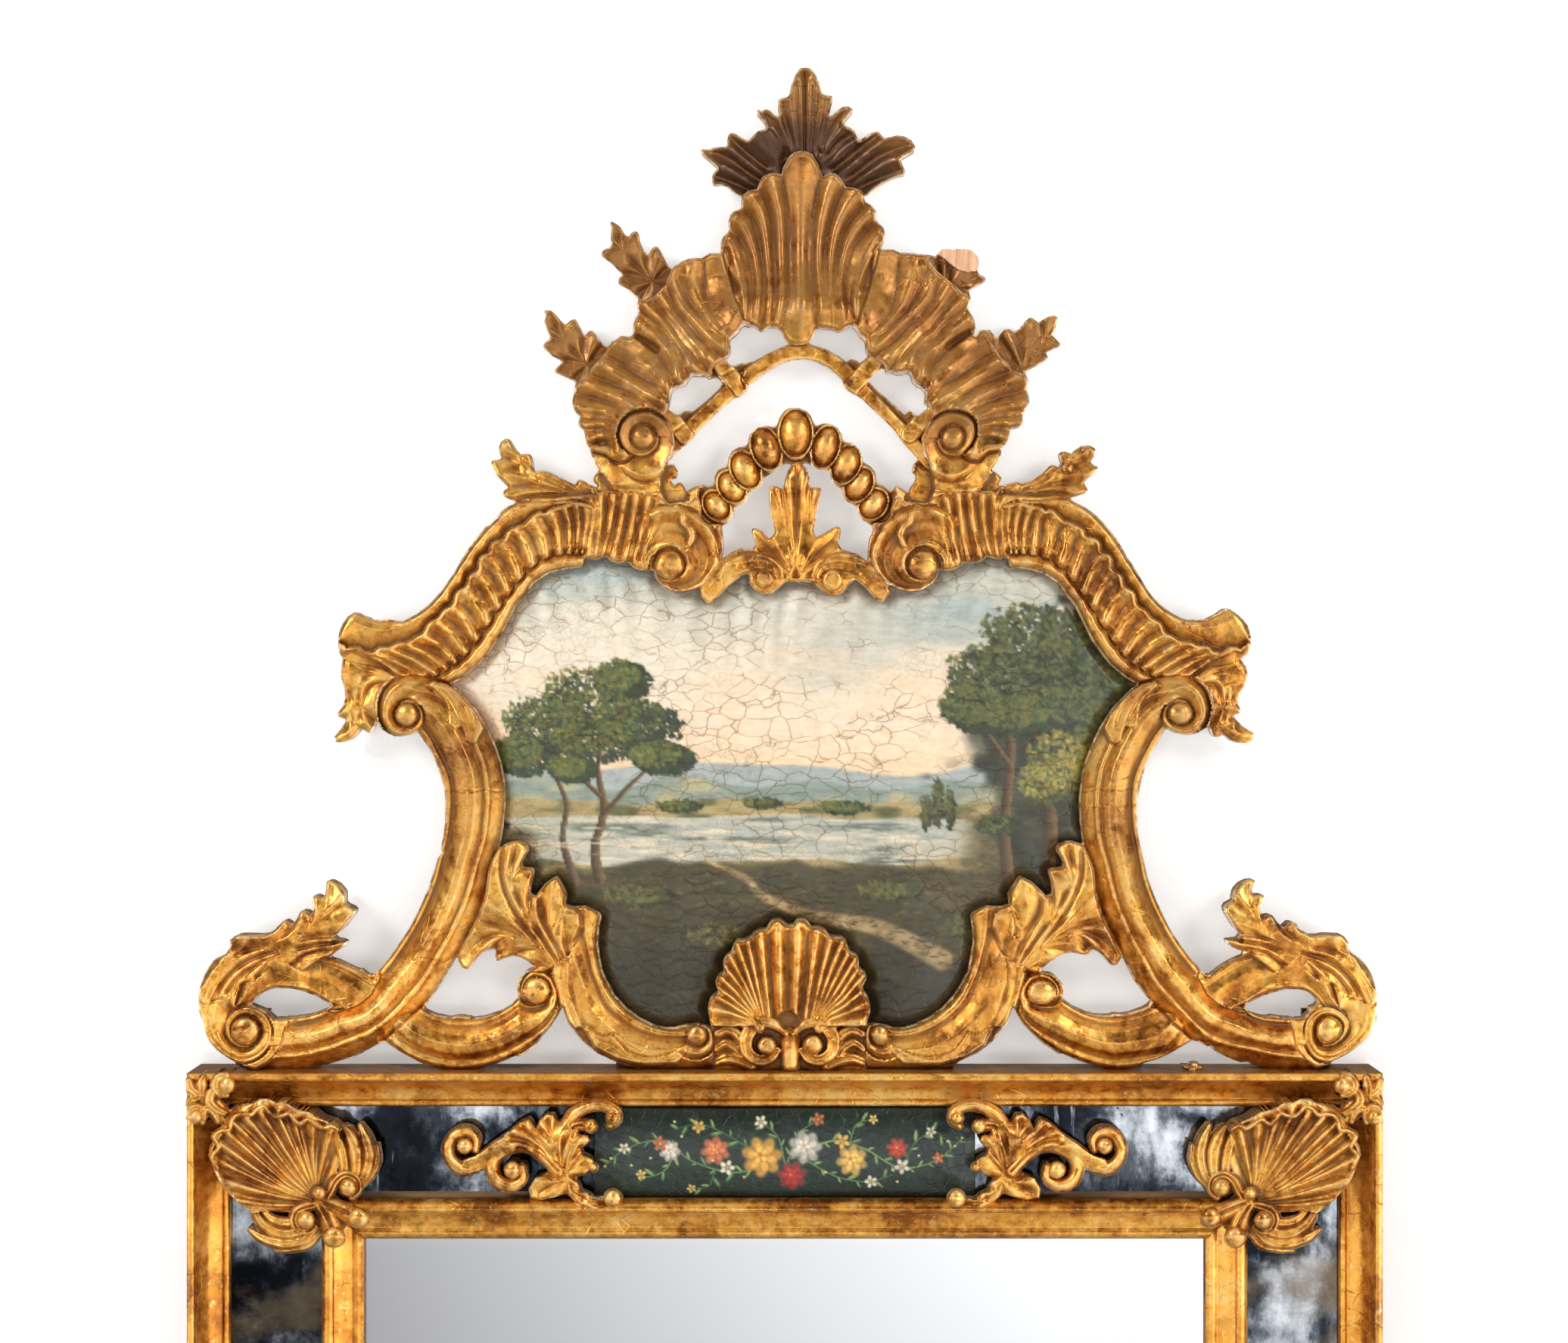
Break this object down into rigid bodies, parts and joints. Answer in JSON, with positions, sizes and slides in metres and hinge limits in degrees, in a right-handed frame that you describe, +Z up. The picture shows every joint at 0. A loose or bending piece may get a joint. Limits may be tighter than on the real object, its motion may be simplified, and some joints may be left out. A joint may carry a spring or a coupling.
{
  "type": "trumeau mirror",
  "caption": "Upright wall mirror in a gilt frame with an antiqued mirror border and painted band panels, below a tall pierced crest of carved scrolls and shells around a painted canvas.",
  "frame": {"origin": "on the flat back of the top rail, which bears on the wall: on the centre line, 60.5 mm below the top of the ledge that carries the crest", "axes": "+X to the right as seen from the front, +Z up, the mirror faces -Y and the wall is the plane y = 0"},
  "size_m": [1.2664, 0.088, 2.4321],
  "materials": {
    "gilt_carving": "leaf gilding over red clay and white gesso, rubbed bright on the high parts and toned brown in the recesses, small losses at the edges",
    "gilt_moulding": "leaf gilding drawn along the length, worn streaks and darker toning in the hollows",
    "bare_pine": "old unfinished pine, darkened, sawn and planed",
    "antique_mirror": "foxed and clouded silvering under clear glass",
    "mirror_plate": "clean silvered glass",
    "painted_panel": "dark green paint with a floral spray under semi-gloss varnish",
    "painted_canvas": "oil-painted canvas, fine age cracks, satin varnish",
    "iron": "blackened iron, dull"
  },
  "bodies": {
    "frame": {"back_board": "bare_pine", "border_mirror_bottom_left": "antique_mirror", "border_mirror_bottom_right": "antique_mirror", "border_mirror_left": "antique_mirror", "border_mirror_right": "antique_mirror", "border_mirror_top_left": "antique_mirror", "border_mirror_top_right": "antique_mirror", "bottom_rail": "bare_pine", "bottom_shell": "gilt_carving", "c_scroll_left": "gilt_carving", "c_scroll_right": "gilt_carving", "clasp_bottom_left": "gilt_carving", "clasp_bottom_right": "gilt_carving", "clasp_top_left": "gilt_carving", "clasp_top_right": "gilt_carving", "corner_shell_bottom_left": "gilt_carving", "corner_shell_bottom_right": "gilt_carving", "corner_shell_top_left": "gilt_carving", "corner_shell_top_right": "gilt_carving", "crest_backing_board": "bare_pine", "crest_canvas": "painted_canvas", "crest_strap_left": "iron", "crest_strap_right": "iron", "crown_shell": "gilt_carving", "floral_panel_bottom": "painted_panel", "floral_panel_top": "painted_panel", "fluted_scroll_left": "gilt_carving", "fluted_scroll_right": "gilt_carving", "foot_scroll_left": "gilt_carving", "foot_scroll_right": "gilt_carving", "hanger_strap_left": "iron", "hanger_strap_right": "iron", "inner_moulding_bottom": "gilt_moulding", "inner_moulding_left": "gilt_moulding", "inner_moulding_right": "gilt_moulding", "inner_moulding_top": "gilt_moulding", "main_mirror_plate": "mirror_plate", "outer_moulding_bottom": "gilt_moulding", "outer_moulding_left": "gilt_moulding", "outer_moulding_right": "gilt_moulding", "outer_moulding_top": "gilt_moulding", "outer_volute_left": "gilt_carving", "outer_volute_right": "gilt_carving", "palmette": "gilt_carving", "pearl_arch": "gilt_carving", "plume": "gilt_carving", "rocaille_left": "gilt_carving", "rocaille_right": "gilt_carving", "sprig_lower_left": "gilt_carving", "sprig_lower_right": "gilt_carving", "sprig_upper_left": "gilt_carving", "sprig_upper_right": "gilt_carving", "stile_left": "bare_pine", "stile_right": "bare_pine", "strap_lattice": "gilt_carving", "top_rail": "bare_pine", "u_scroll_left": "gilt_carving", "u_scroll_right": "gilt_carving"},
    "ring_left": {"hanger_ring_left": "iron"},
    "ring_right": {"hanger_ring_right": "iron"}
  },
  "joints": [
    {"name": "ring_left_swing", "type": "hinge", "parent": "frame", "child": "ring_left", "pos_m": [-0.542, -0.0039, -0.25], "axis": [1, 0, 0], "range_deg": [0, 180]},
    {"name": "ring_right_swing", "type": "hinge", "parent": "frame", "child": "ring_right", "pos_m": [0.542, -0.0039, -0.25], "axis": [1, 0, 0], "range_deg": [0, 180]}
  ]
}
